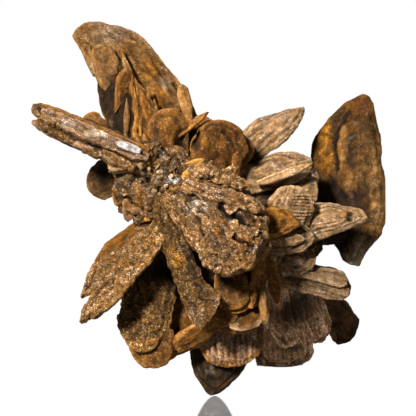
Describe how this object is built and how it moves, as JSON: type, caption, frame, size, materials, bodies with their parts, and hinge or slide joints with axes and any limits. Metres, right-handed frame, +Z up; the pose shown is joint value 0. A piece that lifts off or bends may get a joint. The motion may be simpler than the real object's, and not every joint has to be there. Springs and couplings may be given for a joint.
{
  "type": "gypsum sand rose",
  "caption": "Gypsum sand rose: a cluster of sandy brown blades and discs grown through one another, leaning back on the worn tips of its lowest blades.",
  "frame": {"origin": "middle of the rose's box, at the level of the surface it stands on", "axes": "+Z up; the face that shows the forked blade and the rounded block looks along -Y, leaning back 20 degrees; +X to the right as that face is seen"},
  "size_m": [0.1189, 0.0972, 0.1113],
  "materials": {
    "sandy_gypsum": "matte sandy gypsum, tan to golden brown, with glints from cleavage faces and sand grains"
  },
  "bodies": {
    "root": {"sand_rose": "sandy_gypsum"}
  },
  "joints": []
}
